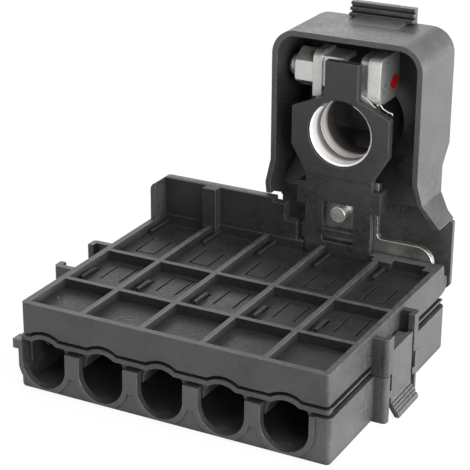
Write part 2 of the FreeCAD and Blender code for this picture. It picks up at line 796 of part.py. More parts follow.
def latch(side):
    """Rocker latch: a tongue with a hook at its top and a ribbed grip that flares at its foot."""
    word, sign, reach = side_words(side)
    outer = "half_width + %s - latch_set" % reach
    inner = outer + " - latch_wall"
    flare = inner + " + grip_reach"
    points = [
        (inner, "latch_top"),
        (outer, "latch_top"),
        (outer, "grip_top"),
        (flare + " + latch_wall", "latch_foot + grip_drop"),
        (flare + " + latch_wall", "latch_foot"),
        (flare, "latch_foot"),
        (inner, "grip_top - grip_drop"),
    ]
    points = [("%s(%s)" % (sign, x), z) for x, z in points]
    tongue = outline("%s_tongue" % word, "front", points, "latch_middle - latch_width / 2", "latch_width")
    hook = box("%s_hook" % word, across(side, "half_width + flange_reach + hook_clear", inner + " + bite"),
               ("latch_middle - latch_width / 2 + hook_side", "latch_middle + latch_width / 2 - hook_side"),
               ("latch_top - hook_height", "latch_top"))
    body = join("%s_latch_body" % word, [tongue, hook, latch_pin(side, "latch", "0")])
    return cut("latch_%s" % word, body, grip_grooves(side, outer, "latch_width"))


def busbar():
    """Tin-plated bar: tray part under the fuses, bent up behind the base, with a neck to the clamp."""
    tray = box("bar_tray", ("tray_left", "tray_right"), (TRAY_FRONT, BACK_FACE + " - past"),
               ("seat_height", "seat_height + bar_thick"))
    reach = box("bar_reach", ("bar_left", "bar_right"),
                (BACK_FACE + " - 2 * past", BAR_FACE + " + bar_thick"),
                ("seat_height", "seat_height + bar_thick"))
    points = [
        ("bar_left", "seat_height"),
        ("bar_right", "seat_height"),
        ("bar_right", "bar_shoulder"),
        ("clamp_x + neck_half", "bar_shoulder"),
        ("clamp_x + neck_half", "neck_top"),
        ("clamp_x - neck_half", "neck_top"),
        ("clamp_x - neck_half", "bar_shoulder"),
        ("bar_left", "bar_shoulder"),
    ]
    plate = outline("bar_plate", "front", points, BAR_FACE, "bar_thick")
    shoulder = SIZES["bar_shoulder"]
    ends = (SIZES["bar_left"], SIZES["bar_right"])
    plate = rounded("bar_shoulders", plate, SIZES["bar_shoulder_round"],
                    lambda m, t: near(abs(t.y), 1) and near(m.z, shoulder) and near(m.x, ends[1]))
    sides = (SIZES["clamp_x"] - SIZES["neck_half"], SIZES["clamp_x"] + SIZES["neck_half"])
    plate = rounded("bar_neck_roots", plate, SIZES["bar_bend"],
                    lambda m, t: near(abs(t.y), 1) and near(m.z, shoulder)
                    and (near(m.x, sides[0]) or near(m.x, sides[1])))
    solid = join("bar_joined", [tray, reach, plate])
    outer = BLOCK_DEPTH + SIZES["bar_gap"] + SIZES["bar_thick"]
    foot = SIZES["seat_height"]
    solid = rounded("bar_bent", solid, SIZES["bar_bend"] + SIZES["bar_thick"] / 2,
                    lambda m, t: near(abs(t.x), 1) and near(m.z, foot) and near(m.y, outer))
    tools = []
    for i in range(COLUMNS):
        start = (seat(i), "output_row + stud_spacing", "seat_height - past")
        tools.append(rod("bar_stud_hole_%d" % (i + 1), "z", start, "stud_radius", "bar_thick + 2 * past"))
    tools.append(rod("bar_rivet_hole", "y", ("clamp_x", BAR_FACE + " - past", "rivet_z"), "rivet_radius",
                     "bar_thick + 2 * past"))
    return cut("busbar", solid, tools)


def battery_clamp():
    """Clamp ring with a lip and a groove in its bore, a split top with two ears, and a riveted foot."""
    ring = rod("ring_outside", "y", ("clamp_x", BAR_FACE, "clamp_z"), "bore_radius + ring_wall", "ring_depth")
    lip = rod("ring_lip_outside", "y", ("clamp_x", RING_FRONT, "clamp_z"), "bore_radius + ring_lip_wall",
              "ring_lip + bar_gap + past")
    bore = rod("ring_bore", "y", ("clamp_x", RING_FRONT + " - past", "clamp_z"), "bore_radius",
               "ring_lip + ring_depth + 3 * past")
    mouth = cone("ring_mouth", "y", ("clamp_x", RING_FRONT, "clamp_z"), "bore_radius + bore_chamfer",
                 "bore_radius", "bore_chamfer")
    groove = rod("ring_groove", "y", ("clamp_x", BAR_FACE + " + groove_start", "clamp_z"),
                 "bore_radius + groove_depth", "groove_width")
    deep = (BAR_FACE + " + ear_start", BAR_FACE + " + ear_start + ear_depth")
    ears = [box("ear_left_plate", ("ear_left", "ear_left + ear"), deep, ("ear_foot", "ear_top")),
            box("ear_right_plate", ("ear_right", "ear_right + ear"), deep, ("ear_foot", "ear_top"))]
    foot_face = BAR_FACE + " + bar_thick"
    foot = box("clamp_foot", ("clamp_x - foot_width / 2", "clamp_x + foot_width / 2"),
               (foot_face, foot_face + " + foot_plate"), ("foot_end", "clamp_z - bore_radius"))
    top = SIZES["ear_top"]
    ear_front = BLOCK_DEPTH + SIZES["bar_gap"] + SIZES["ear_start"]
    ear_faces = (ear_front, ear_front + SIZES["ear_depth"])
    pair = rounded("ears_rounded", join("ears", ears), SIZES["ear"],
                   lambda m, t: near(abs(t.x), 1) and near(m.z, top)
                   and (near(m.y, ear_faces[0]) or near(m.y, ear_faces[1])))
    solid = join("clamp_solid", [ring, lip, pair, foot])
    split = box("clamp_split", ("ear_left + ear", "ear_right"),
                (RING_FRONT + " - past", BAR_FACE + " + ring_depth + past"),
                ("clamp_z + bore_radius - 2 * past", "ear_top + past"))
    hole = rod("ear_hole", "x", ("ear_left - past", bolt_y(), "bolt_z"), "bolt_hole_radius",
               "ear_right - ear_left + ear + 2 * past")
    rivet = rod("foot_rivet_hole", "y", ("clamp_x", BAR_FACE, "rivet_z"), "rivet_radius",
                "bar_thick + foot_plate + past")
    relief = box("head_relief", (HEAD_FACE, HEAD_FACE + " + head_height + ring_wall"),
                 (bolt_y() + " - head_size / 2 - head_fit", bolt_y() + " + head_size / 2 + head_fit"),
                 ("bolt_z - head_size / 2 - head_fit", "ear_top + past"))
    return cut("battery_clamp", solid, [bore, mouth, groove, split, hole, rivet, relief])


def bolt_y():
    return BAR_FACE + " + ear_start + ear_depth / 2"


def clamp_saddle():
    """Angled strip inside the left ear that keeps the split from closing on the post."""
    deep = (BAR_FACE + " + ear_start + saddle_set", BAR_FACE + " + ear_start + ear_depth - saddle_set")
    face = "ear_left + ear"
    upright = box("saddle_upright", (face, face + " + saddle"), deep,
                  ("clamp_z + bore_radius + ring_wall - past", "ear_top - saddle_drop"))
    top = box("saddle_top", (face, face + " + saddle_run"), deep,
              ("ear_top - saddle_drop - saddle", "ear_top - saddle_drop"))
    strip = join("saddle_strip", [upright, top])
    hole = rod("saddle_hole", "x", (face + " - past", bolt_y(), "bolt_z"), "bolt_hole_radius",
               "saddle_run + 2 * past")
    return cut("clamp_saddle", strip, [hole])


def clamp_bolt():
    """Square head bolt, its head seated on the ring's shoulder so that it can't turn."""
    head = box("bolt_head", (HEAD_FACE, HEAD_FACE + " + head_height"),
               (bolt_y() + " - head_size / 2", bolt_y() + " + head_size / 2"),
               ("bolt_z - head_size / 2", "bolt_z + head_size / 2"))
    head = rounded("bolt_head_rounded", head, SIZES["head_round"], lambda m, t: near(abs(t.x), 1))
    shank = rod("bolt_shank", "x", ("bolt_tip", bolt_y(), "bolt_z"), "bolt_radius",
                HEAD_FACE + " - bolt_tip + past")
    doc.recompute()
    tip = doc.addObject("Part::Chamfer", "bolt_shank_tip")
    tip.Base = shank
    rims = [n for n, edge in enumerate(shank.Shape.Edges, start=1)
            if edge.Curve.TypeId == "Part::GeomCircle" and near(edge.CenterOfMass.x, SIZES["bolt_tip"])]
    tip.Edges = [(n, SIZES["bolt_chamfer"], SIZES["bolt_chamfer"]) for n in rims]
    return join("clamp_bolt", [head, tip])


def clamp_nut():
    """Hexagon nut with turned-off corners, outside the left ear."""
    start = "ear_left - clamp_nut_height"
    body = hexagon("clamp_nut_body", "x", (start, bolt_y(), "bolt_z"), "bolt_flats", "clamp_nut_height")
    turned = cone("clamp_nut_turning", "x", (start, bolt_y(), "bolt_z"), "nut_corner",
                  "nut_corner + clamp_nut_height", "clamp_nut_height")
    hole = rod("clamp_nut_hole", "x", (start + " - past", bolt_y(), "bolt_z"), "bolt_radius + thread_fit",
               "clamp_nut_height + 2 * past")
    return cut("clamp_nut", common("clamp_nut_turned", body, turned), [hole])


def clamp_rivet():
    """Rivet through the bar and the clamp's foot, its tall head in the plate's window."""
    shank = rod("rivet_shank", "y", ("clamp_x", BAR_FACE + " - rivet_proud", "rivet_z"), "rivet_radius",
                "rivet_proud + bar_thick + foot_plate + bite")
    head = rod("rivet_back", "y", ("clamp_x", BAR_FACE + " + bar_thick + foot_plate", "rivet_z"),
               "rivet_head_radius", "rivet_head_height")
    return join("clamp_rivet", [shank, head])


def clamp_insulator():
    """Moulded plate over the clamp: tab between the ears, ring with a bore, neck with side hooks."""
    low = "clamp_z - plate_low"
    points = [
        ("clamp_x - plate_tab_half", "plate_tab_top"),
        ("clamp_x - plate_tab_half", "plate_shoulder"),
        ("clamp_x - plate_half", "clamp_z + plate_side_top"),
        ("clamp_x - plate_half", "clamp_z - plate_side_low"),
        ("clamp_x - plate_neck_half", low),
        ("clamp_x - plate_neck_half", "plate_seat"),
        ("clamp_x + plate_neck_half", "plate_seat"),
        ("clamp_x + plate_neck_half", low),
        ("clamp_x + plate_half", "clamp_z - plate_side_low"),
        ("clamp_x + plate_half", "clamp_z + plate_side_top"),
        ("clamp_x + plate_tab_half", "plate_shoulder"),
        ("clamp_x + plate_tab_half", "plate_tab_top"),
    ]
    face = BACK + " - plate"
    plate = outline("insulator_plate", "front", points, face, "plate")
    tall = ("plate_hook_foot", "plate_hook_foot + plate_hook_rise")
    edge = "neck_half + seat_gap"
    hooks = []
    for word, way in (("left", -1), ("right", 1)):
        near_x = "clamp_x + %d * (plate_neck_half - 1)" % way
        far_x = "clamp_x + %d * (%s + plate_hook_reach / 2)" % (way, edge)
        wrap_x = "clamp_x + %d * (%s)" % (way, edge)
        arm = (near_x, far_x) if way > 0 else (far_x, near_x)
        wrap = (wrap_x, far_x) if way > 0 else (far_x, wrap_x)
        hooks.append(box("plate_arm_%s" % word, arm, (face, BACK), tall))
        hooks.append(box("plate_hook_%s" % word, wrap, (face, BAR_FACE + " + bar_thick + past"), tall))
    body = join("insulator_body", [plate] + hooks)
    across = ("clamp_x - plate_window_width / 2", "clamp_x + plate_window_width / 2")
    tools = [
        rod("plate_bore", "y", ("clamp_x", face + " - past", "clamp_z"), "plate_bore_radius",
            "plate + 2 * past"),
        box("plate_window", across, (face + " - past", BACK + " + past"),
            ("plate_window_z - plate_window_height / 2", "plate_window_z + plate_window_height / 2")),
        box("plate_slot", across, (face + " - past", BACK + " + past"),
            ("plate_slot_z - plate_slot_height / 2", "plate_slot_z + plate_slot_height / 2")),
        box("plate_neck_face", ("clamp_x - 2 * plate_half", "clamp_x + 2 * plate_half"),
            (face + " - past", face + " + plate_neck_set"), ("plate_seat - past", "plate_crease")),
    ]
    return cut("clamp_insulator", body, tools)


def cover_form(name, inset, front):
    """The cover's form: its front outline drawn back, cut by its side outline. The inner form is inset."""
    gap = "%g * cover_wall" % inset
    flare = "(cover_flare_top + cover_flare_foot) / 2"
    points = [
        ("cover_left + %s" % gap, "cover_top - %s" % gap),
        ("cover_left + %s" % gap, "cover_flare_top"),
        ("cover_left - cover_flare_left + %s" % gap, "cover_left_waist"),
        ("cover_left - cover_flare_left / 2 + %s" % gap, "cover_left_foot - %g" % inset),
        ("cover_right + cover_flare_right - %s" % gap, "cover_flare_foot - %g" % inset),
        ("cover_right + cover_flare_right / 4 - %s" % gap, flare),
        ("cover_right - %s" % gap, "cover_flare_top"),
        ("cover_right - %s" % gap, "cover_top - %s" % gap),
    ]
    face = outline(name + "_face", "front", points, front, "cover_depth + 2 * past")
    top = SIZES["cover_top"] - inset * SIZES["cover_wall"]
    face = rounded(name + "_corners", face, SIZES["cover_corner"] - inset * SIZES["cover_wall"],
                   lambda m, t: near(abs(t.y), 1) and near(m.z, top))
    rim = BACK + " - cover_rim_set"
    back = rim + " + cover_depth - %s" % gap
    tail = BACK + " + cover_back_gap + cover_wall - %s" % gap
    sides = [
        (front, "cover_top + past"),
        (back, "cover_top + past"),
        (back, "cover_slope_top"),
        (tail, "cover_slope_foot"),
        (tail, "cover_flare_foot - 2 * past"),
        (front, "cover_flare_foot - 2 * past"),
    ]
    side = outline(name + "_side", "side", sides, "cover_left - 5", "cover_right - cover_left + 20")
    return common(name, face, side)


def terminal_cover():
    """Moulded cover over the clamp, hinged low behind the base, with a finger grip on top."""
    rim = BACK + " - cover_rim_set"
    outer = cover_form("cover_outer", 0, rim)
    inner = cover_form("cover_inner", 1, rim + " - past")
    trim_points = [
        (rim + " - past", "cover_left_foot - 2 * past"),
        (rim + " - past", "cover_left_rim"),
        (BACK + " + past", "cover_left_rim"),
        (BACK + " + cover_back_gap", "cover_left_end"),
        (BACK + " + cover_back_gap", "cover_left_foot - 2 * past"),
    ]
    trim = outline("cover_left_trim", "side", trim_points, "cover_left - 3", "6")
    hood = cut("cover_hood", outer, [inner, trim])
    inside = BACK + " + cover_back_gap"
    outside = inside + " + cover_wall"
    tail_points = [
        ("cover_tail_left", "cover_slope_foot"),
        ("cover_tail_left", "cover_tail_foot + cover_tail_cut"),
        ("cover_tail_left + cover_tail_cut", "cover_tail_foot"),
        ("cover_tail_right - cover_tail_cut", "cover_tail_foot"),
        ("cover_tail_right", "cover_tail_foot + cover_tail_cut"),
        ("cover_tail_right", "cover_flare_foot - past"),
        ("cover_right + cover_flare_right / 2", "cover_slope_foot"),
    ]
    tail = outline("cover_tail", "front", tail_points, inside, "cover_wall")
    back = rim + " + cover_depth"
    grip = box("grip_wall_plate", ("grip_left", "grip_right"), (back + " - grip_wall", back),
               ("cover_top - past", "cover_top + grip_rise"))
    ribs = []
    for i in range(3):
        height = "cover_top + grip_rise - %g * grip_rise / 3" % i
        ribs.append(box("grip_rib_%d" % (i + 1), ("grip_left", "grip_right"),
                        (back + " - grip_wall - grip_rib * %g" % (i + 1), back),
                        ("%s - grip_rise / 5" % height, height)))
    ramp_points = [
        (back + " - ramp_length - grip_wall", "cover_top - bite"),
        (back + " - bite", "cover_top - bite"),
        (back + " - bite", "cover_top + ramp_rise"),
        (back + " - grip_wall", "cover_top + ramp_rise"),
        (back + " - ramp_length - grip_wall", "cover_top"),
    ]
    ramp = outline("grip_ramp", "side", ramp_points, "grip_left + ramp_inset",
                   "grip_right - grip_left - 2 * ramp_inset")
    lugs = []
    for word, start in (("left", "bar_left - bar_gap + hinge_side_gap"),
                        ("right", "bar_right + bar_gap - hinge_side_gap - hinge_lug")):
        end = "(%s) + hinge_lug" % start
        lugs.append(rod("lug_%s_eye" % word, "x", (start, "hinge_y", "hinge_z"), "hinge_lug_radius",
                        "hinge_lug"))
        lugs.append(box("lug_%s_web" % word, (start, end), ("hinge_y", inside + " + bite"),
                        ("hinge_z - hinge_lug_radius", "hinge_z + hinge_lug_radius")))
    body = join("cover_body", [hood, tail, grip, ramp] + ribs + lugs)
    bores = [rod("lug_%s_bore" % word, "x", (start, "hinge_y", "hinge_z"), "hinge_pin_radius + hinge_fit",
                 "hinge_lug + 2 * past")
             for word, start in (("left", "bar_left - bar_gap + hinge_side_gap - past"),
                                 ("right", "bar_right + bar_gap - hinge_side_gap - hinge_lug - past"))]
    return cut("terminal_cover", body, bores)


def studs(word, row, level):
    """Five studs that point at the lid, their flat heads sunk in the base."""
    solids = []
    for i in range(COLUMNS):
        shank = rod("%s_shank_%d" % (word, i + 1), "z", (seat(i), row, "stud_foot"), "stud_radius",
                    "(%s) - stud_foot + bite" % level)
        head = rod("%s_head_%d" % (word, i + 1), "z", (seat(i), row, level), "stud_head_radius - 0.05",
                   "stud_head_height - 0.05")
        solids.append(join("%s_stud_%d" % (word, i + 1), [shank, head]))
    return group("%s_studs" % word, solids)


def nuts(word, row):
    solids = []
    for i in range(COLUMNS):
        top = "seat_height - blade"
        body = hexagon("%s_nut_body_%d" % (word, i + 1), "z", (seat(i), row, top + " - stud_nut_height"),
                       "stud_nut_flats", "stud_nut_height")
        flange = rod("%s_nut_flange_%d" % (word, i + 1), "z", (seat(i), row, top + " - nut_flange_height"),
                     "nut_flange_radius", "nut_flange_height")
        hole = rod("%s_nut_hole_%d" % (word, i + 1), "z", (seat(i), row, top + " - stud_nut_height - past"),
                   "stud_radius", "stud_nut_height + 2 * past")
        solids.append(cut("%s_nut_%d" % (word, i + 1),
                          join("%s_nut_solid_%d" % (word, i + 1), [body, flange]), [hole]))
    return group("%s_nuts" % word, solids)


def fuse(index):
    """Midi fuse: a punched link with two eyes, a moulded housing round it and a clear window."""
    number = index + 1
    middle = "output_row + stud_spacing / 2"
    x = seat(index)
    foot = "seat_height - blade"
    strip = box("link_strip_%d" % number, (x + " - fuse_width / 2", x + " + fuse_width / 2"),
                (middle + " - fuse_length / 2", middle + " + fuse_length / 2"), (foot, "seat_height"))
    notches = []
    for way in (-1, 1):
        side = (x + " + link_width / 2", x + " + fuse_width")
        if way < 0:
            side = (x + " - fuse_width", x + " - link_width / 2")
        notches.append(box("link_notch_%d_%d" % (number, way + 1), side,
                           (middle + " - housing_length / 4", middle + " + housing_length / 4"),
                           (foot + " - past", "seat_height + past")))
    holes = []
    for k in (0, 1):
        start = (x, "output_row + %d * stud_spacing" % k, foot + " - past")
        holes.append(rod("link_eye_%d_%d" % (number, k), "z", start, "fuse_hole_radius", "blade + 2 * past"))
    link = cut("fuse_link_%d" % number, strip, notches + holes)

    level = "seat_height - blade / 2"
    case = box("case_block_%d" % number,
               (x + " - fuse_width / 2 - case_margin", x + " + fuse_width / 2 + case_margin"),
               (middle + " - housing_length / 2", middle + " + housing_length / 2"),
               (level + " - housing_height / 2", level + " + housing_height / 2"))
    case = rounded("case_rounded_%d" % number, case, SIZES["housing_round"],
                   lambda m, t: near(abs(t.y), 1))
    window_box = (x + " - window_size / 2", x + " + window_size / 2")
    window_run = (middle + " - window_size / 2", middle + " + window_size / 2")
    sight = box("case_sight_%d" % number, window_box, window_run,
                (level + " - housing_height / 2 - past", level + " - housing_height / 2 + window_depth"))
    slot = box("case_slot_%d" % number, (x + " - fuse_width / 2", x + " + fuse_width / 2"),
               (middle + " - housing_length", middle + " + housing_length"), (foot, "seat_height"))
    chamber = box("case_chamber_%d" % number, window_box, window_run,
                  (level + " - housing_height / 2 + window_depth - 0.1", "seat_height + 2 * past"))
    housing = cut("fuse_housing_%d" % number, case, [sight, slot, chamber])
    window = box("fuse_window_%d" % number, window_box, window_run,
                 (level + " - housing_height / 2 + 0.1", level + " - housing_height / 2 + window_depth"))
    return [link, housing, window]


parts = [
    fuse_base(),
    lid(),
    latch(1),
    latch(-1),
    busbar(),
    battery_clamp(),
    clamp_saddle(),
    clamp_bolt(),
    clamp_nut(),
    clamp_rivet(),
    clamp_insulator(),
    terminal_cover(),
    studs("output", "output_row", "seat_height"),
    studs("input", "output_row + stud_spacing", "seat_height + bar_thick"),
    nuts("output", "output_row"),
    nuts("input", "output_row + stud_spacing"),
]
for number in range(COLUMNS):
    parts += fuse(number)

doc.recompute()
problems = []
for item in doc.Objects:
    if "Invalid" in item.State or "Error" in item.State:
        problems.append("%s: %s" % (item.Name, item.State))
for item in parts:
    item.Label = item.Name
    if item.Shape.isNull() or not item.Shape.isValid() or not item.Shape.Solids:
        problems.append(item.Name + ": no valid solid")
if problems:
    raise RuntimeError("; ".join(problems))

os.makedirs("parts", exist_ok=True)
for item in parts:
    item.Shape.exportStep("parts/%s.step" % item.Label)
    print(item.Label, len(item.Shape.Solids), "solids", round(item.Shape.Volume, 1), "mm3")
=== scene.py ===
import math
import bmesh
import bpy
from mathutils import Matrix, Vector


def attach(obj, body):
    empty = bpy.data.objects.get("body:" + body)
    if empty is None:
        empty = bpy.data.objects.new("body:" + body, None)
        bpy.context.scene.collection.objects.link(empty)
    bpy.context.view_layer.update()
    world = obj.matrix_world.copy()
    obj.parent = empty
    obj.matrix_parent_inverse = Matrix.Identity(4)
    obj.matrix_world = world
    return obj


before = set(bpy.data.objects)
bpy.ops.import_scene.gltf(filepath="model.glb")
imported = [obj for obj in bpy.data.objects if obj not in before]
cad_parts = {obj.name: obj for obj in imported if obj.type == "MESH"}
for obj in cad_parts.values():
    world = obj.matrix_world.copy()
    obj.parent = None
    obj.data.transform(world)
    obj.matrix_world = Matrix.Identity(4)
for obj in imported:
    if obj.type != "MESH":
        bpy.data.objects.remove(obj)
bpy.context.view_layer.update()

MM = 0.001


# The base, its lid, the two side latches and the terminal cover are injection moulded in black
# glass-filled nylon. The tool is spark eroded, so the skin has a fine even grain and a little flow variation.
# Edges are rubbed lighter, partly as wear and partly as a painted highlight, and corners are painted darker as
# shade. The cells between the ribs are painted near black as shade and are duller than the rib tops.

class Socket:
    """A shader socket that takes part in ordinary sums."""

    def __init__(self, sheet, link):
        self.sheet = sheet
        self.link = link

    def _math(self, operation, *inputs):
        return self.sheet.add("ShaderNodeMath", {"operation": operation}, dict(enumerate(inputs)))

    def __add__(self, other):
        return self._math("ADD", self, other)

    __radd__ = __add__

    def __sub__(self, other):
        return self._math("SUBTRACT", self, other)

    def __rsub__(self, other):
        return self._math("SUBTRACT", other, self)

    def __mul__(self, other):
        return self._math("MULTIPLY", self, other)

    __rmul__ = __mul__

    def __gt__(self, other):
        return self._math("GREATER_THAN", self, other)

    def __lt__(self, other):
        return self._math("LESS_THAN", self, other)

    def at_least(self, other):
        return self._math("MAXIMUM", self, other)

    def out(self, name):
        """Another output of the same node."""
        return Socket(self.sheet, self.link.node.outputs[name])


class Sheet:
    """A sheet of shader nodes. Every node on it comes from add."""

    def __init__(self, tree):
        self.tree = tree

    def add(self, kind, settings=None, inputs=None, output=0):
        node = self.tree.nodes.new(kind)
        for key, value in (settings or {}).items():
            if key == "stops":
                elements = node.color_ramp.elements
                while len(elements) < len(value):
                    elements.new(0.5)
                for element, (place, colour) in zip(elements, value):
                    element.position = place
                    element.color = colour
            else:
                setattr(node, key, value)
        for key, value in (inputs or {}).items():
            self.feed(node.inputs[key], value)
        return Socket(self, node.outputs[output])

    def feed(self, socket, value):
        if isinstance(value, Socket):
            self.tree.links.new(value.link, socket)
        else:
            socket.default_value = value

    def place(self, scale=1.0):
        """The piece's own coordinates, in metres times scale."""
        where = self.add("ShaderNodeTexCoord", output="Object")
        return self.add("ShaderNodeMapping", {}, {"Vector": where, "Scale": (scale, scale, scale)})

    def spread(self, value, low, high):
        """Stretches the range from low to high over the whole of 0 to 1."""
        return self.add("ShaderNodeMapRange", {"clamp": True}, {
            "Value": value, "From Min": low, "From Max": high, "To Min": 0.0, "To Max": 1.0})

    def noise(self, where, scale, detail=3.0, roughness=0.5):
        raw = self.add("ShaderNodeTexNoise", {}, {
            "Vector": where, "Scale": scale, "Detail": detail, "Roughness": roughness})
        return self.spread(raw, 0.3, 0.7)

    def blend(self, amount, first, second):
        return self.add("ShaderNodeMix", {"data_type": "RGBA"}, {0: amount, 6: first, 7: second}, output=2)

    def rounded(self, radius):
        """The surface's direction with its edges rounded, radius in millimetres."""
        return self.add("ShaderNodeBevel", {"samples": 8}, {"Radius": radius * MM})

    def relief(self, height, strength, depth, under):
        return self.add("ShaderNodeBump", {}, {
            "Strength": strength, "Distance": depth, "Height": height, "Normal": under})


class Finish(Sheet):
    """The sheet of one material."""

    def __init__(self, name):
        self.material = bpy.data.materials.new(name)
        self.material.use_nodes = True
        super().__init__(self.material.node_tree)
        self.shader = self.tree.nodes["Principled BSDF"]
        self.output = self.tree.nodes["Material Output"]

    def surface(self, **values):
        for key, value in values.items():
            self.feed(self.shader.inputs[key.replace("_", " ")], value)

    def so_far(self, name):
        """What feeds one of the shader's inputs now."""
        return Socket(self, self.shader.inputs[name].links[0].from_socket)


CLOUD_SCALE, SPECK_SCALE, GRAIN_SCALE, GRAIN_DEPTH = 70.0, 900.0, 3600.0, 0.06 * MM
CORNER_REACH, SHADE_NEAR_BLACK, MOULD_EDGE = 3.5 * MM, (0.002, 0.002, 0.002, 1), 0.22
RIB_TOP, CELL_FLOOR, CELLS_HALF_WIDTH, CELLS_HALF_DEPTH = 25.2, 22.2, 43.4, 36.6


def moulded(name, dark, light, edge, rough, gloss=0.7, ribbed=False):
    """Moulded plastic: grained skin, cloudy flow marks, edges rounded and rubbed lighter as wear and painted
    highlight, corners painted dark as shade.
    """
    finish = Finish(name)
    where = finish.place()
    cloud = finish.noise(where, CLOUD_SCALE, 5.0, 0.62)
    speck = finish.noise(where, SPECK_SCALE, 3.0, 0.6)
    grain = finish.noise(where, GRAIN_SCALE, 2.0, 0.6)
    # Corners and creases, found by occlusion, are painted towards black as shade.
    openness = finish.add("ShaderNodeAmbientOcclusion", {"samples": 8}, {"Distance": CORNER_REACH}, output="AO")
    corner_shade = finish.spread(openness, 0.85, 0.35)
    rounded = finish.rounded(MOULD_EDGE)
    flat = finish.add("ShaderNodeNewGeometry", output="Normal")
    bend = finish.add("ShaderNodeVectorMath", {"operation": "DOT_PRODUCT"}, {0: rounded, 1: flat}, output=1)
    # The rounded edges are painted lighter: partly rubbed wear, partly painted highlight.
    rubbed_and_highlit = finish.spread(bend, 0.995, 0.88)
    skin = finish.blend(cloud * 0.6 + speck * 0.4, dark, light)
    roughness = rough + (cloud - 0.5) * 0.18 + (speck - 0.5) * 0.22 - rubbed_and_highlit * 0.08 + corner_shade * 0.35
    if ribbed:
        spot = finish.add("ShaderNodeSeparateXYZ", {}, {"Vector": where})
        beside, along, height = (spot.out(axis) * 1000.0 for axis in "XYZ")
        tops = (height > RIB_TOP - 0.1) * (height < RIB_TOP + 0.15)
        walled = (beside * beside < CELLS_HALF_WIDTH ** 2) * (along * along < CELLS_HALF_DEPTH ** 2)
        cells = walled * (1.0 - tops) * (height > CELL_FLOOR - 1.0)
        # Inside the cells the colour is painted near black as shade; the rib tops get lighter specks, partly wear
        # and partly painted highlight.
        skin = finish.blend(cells * 0.85, finish.blend(tops * speck * 0.25, skin, edge), SHADE_NEAR_BLACK)
        roughness = roughness + cells * 0.12 + tops * 0.14
    finish.surface(
        Base_Color=finish.blend(rubbed_and_highlit * (0.2 + speck * 0.8) * (1.0 - corner_shade),
                                finish.blend(corner_shade, skin, SHADE_NEAR_BLACK), edge),
        Roughness=roughness,
        Normal=finish.relief(grain * 0.6 + speck * 0.4, 0.45, GRAIN_DEPTH, rounded),
        Specular_IOR_Level=gloss,
    )
    return finish.material


def finish_node(node, material):
    """Puts a finish on a CAD piece."""
    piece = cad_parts[node]
    piece.data.materials.clear()
    piece.data.materials.append(material)


DARK, LIGHT, RUBBED_AND_HIGHLIT = (0.012, 0.012, 0.012, 1), (0.048, 0.048, 0.048, 1), (0.12, 0.12, 0.12, 1)
black = moulded("black_moulding", DARK, LIGHT, RUBBED_AND_HIGHLIT, 0.44)
for node in ("lid", "latch_right", "latch_left"):
    finish_node(node, black)
finish_node("fuse_base", moulded("ribbed_moulding", DARK, LIGHT, RUBBED_AND_HIGHLIT, 0.44, 0.5, ribbed=True))
finish_node("terminal_cover", moulded("cover_moulding", DARK, LIGHT, RUBBED_AND_HIGHLIT, 0.42))


# The base's tool leaves two round marks in the front cells: the double ring of an insert and the
# small pip of a pin. They are raised by about a tenth of a millimetre, in one piece with the base.

def link(name, shape, material, body):
    """Makes a finished mesh an object that moves with a body."""
    mesh = bpy.data.meshes.new(name)
    bmesh.ops.recalc_face_normals(shape, faces=shape.faces)
    shape.to_mesh(mesh)
    shape.free()
    mesh.materials.append(material)
    piece = bpy.data.objects.new(name, mesh)
    bpy.context.collection.objects.link(piece)
    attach(piece, body)


def bead(shape, middle, radius, rise, width):
    """A low round ring on the floor of a cell, its foot sunk a little into the floor."""
    x, y = middle
    crown = width * 0.4
    section = [shape.verts.new(Vector((x + radius + across, y, CELL_FLOOR + up)) * MM)
               for across, up in ((-width, -0.05), (-crown, rise), (crown, rise), (width, -0.05))]
    edges = [shape.edges.new(pair) for pair in zip(section, section[1:] + section[:1])]
    bmesh.ops.spin(shape, geom=section + edges, cent=Vector((x, y, 0)) * MM, axis=(0, 0, 1),
                   angle=math.tau, steps=48, use_merge=True)


INSERT_MIDDLE, PIN_MIDDLE = (-17.4, -30.1), (-41.7, -26.2)
marks = bmesh.new()
bead(marks, INSERT_MIDDLE, 3.0, 0.12, 0.22)
bead(marks, INSERT_MIDDLE, 1.1, 0.10, 0.18)
bead(marks, PIN_MIDDLE, 0.3, 0.30, 0.25)
link("mould_marks", marks, black, "base")


# The plate in front of the clamp is a separate moulding in a slightly darker, unfilled grade. It
# sits on the front of the clamp's neck, with a bore for the battery's post and a window for the rivet.

PLATE_DARK, PLATE_LIGHT = (0.007, 0.007, 0.007, 1), (0.030, 0.030, 0.030, 1)
finish_node("clamp_insulator", moulded("plate_moulding", PLATE_DARK, PLATE_LIGHT, RUBBED_AND_HIGHLIT, 0.48, 0.55))


# The busbar and the fuse links are stamped copper with a matt tin plate, faintly streaked along the
# strip by rolling. The clamp ring is cast brass, and it and its saddle have a duller plate. The ring's
# outside is painted black as shade, and its bore is turned bright, with painted shade and reflection in the groove
# and at the back.

STREAK_SCALE, PLATE_CLOUD_SCALE, PLATE_DEPTH = 900.0, 160.0, 0.03 * MM


def plated(name, dark, light, rough, streak, metal=1.0, radius=0.3, relief=0.12):
    """Plated metal: rolled or cast skin with faint streaks and a cloudy plate."""
    finish = Finish(name)
    where = finish.place()
    along = finish.add("ShaderNodeMapping", {}, {"Vector": where, "Scale": streak})
    lines = finish.noise(along, STREAK_SCALE, 3.0, 0.6)
    cloud = finish.noise(where, PLATE_CLOUD_SCALE, 4.0, 0.6)
    finish.surface(
        Base_Color=finish.blend(cloud * 0.6 + lines * 0.4, dark, light),
        Metallic=metal,
        Roughness=rough + (cloud - 0.5) * 0.14 + (lines - 0.5) * 0.06,
        Normal=finish.relief(lines * 0.6 + cloud * 0.4, relief, PLATE_DEPTH, finish.rounded(radius)),
    )
    return finish


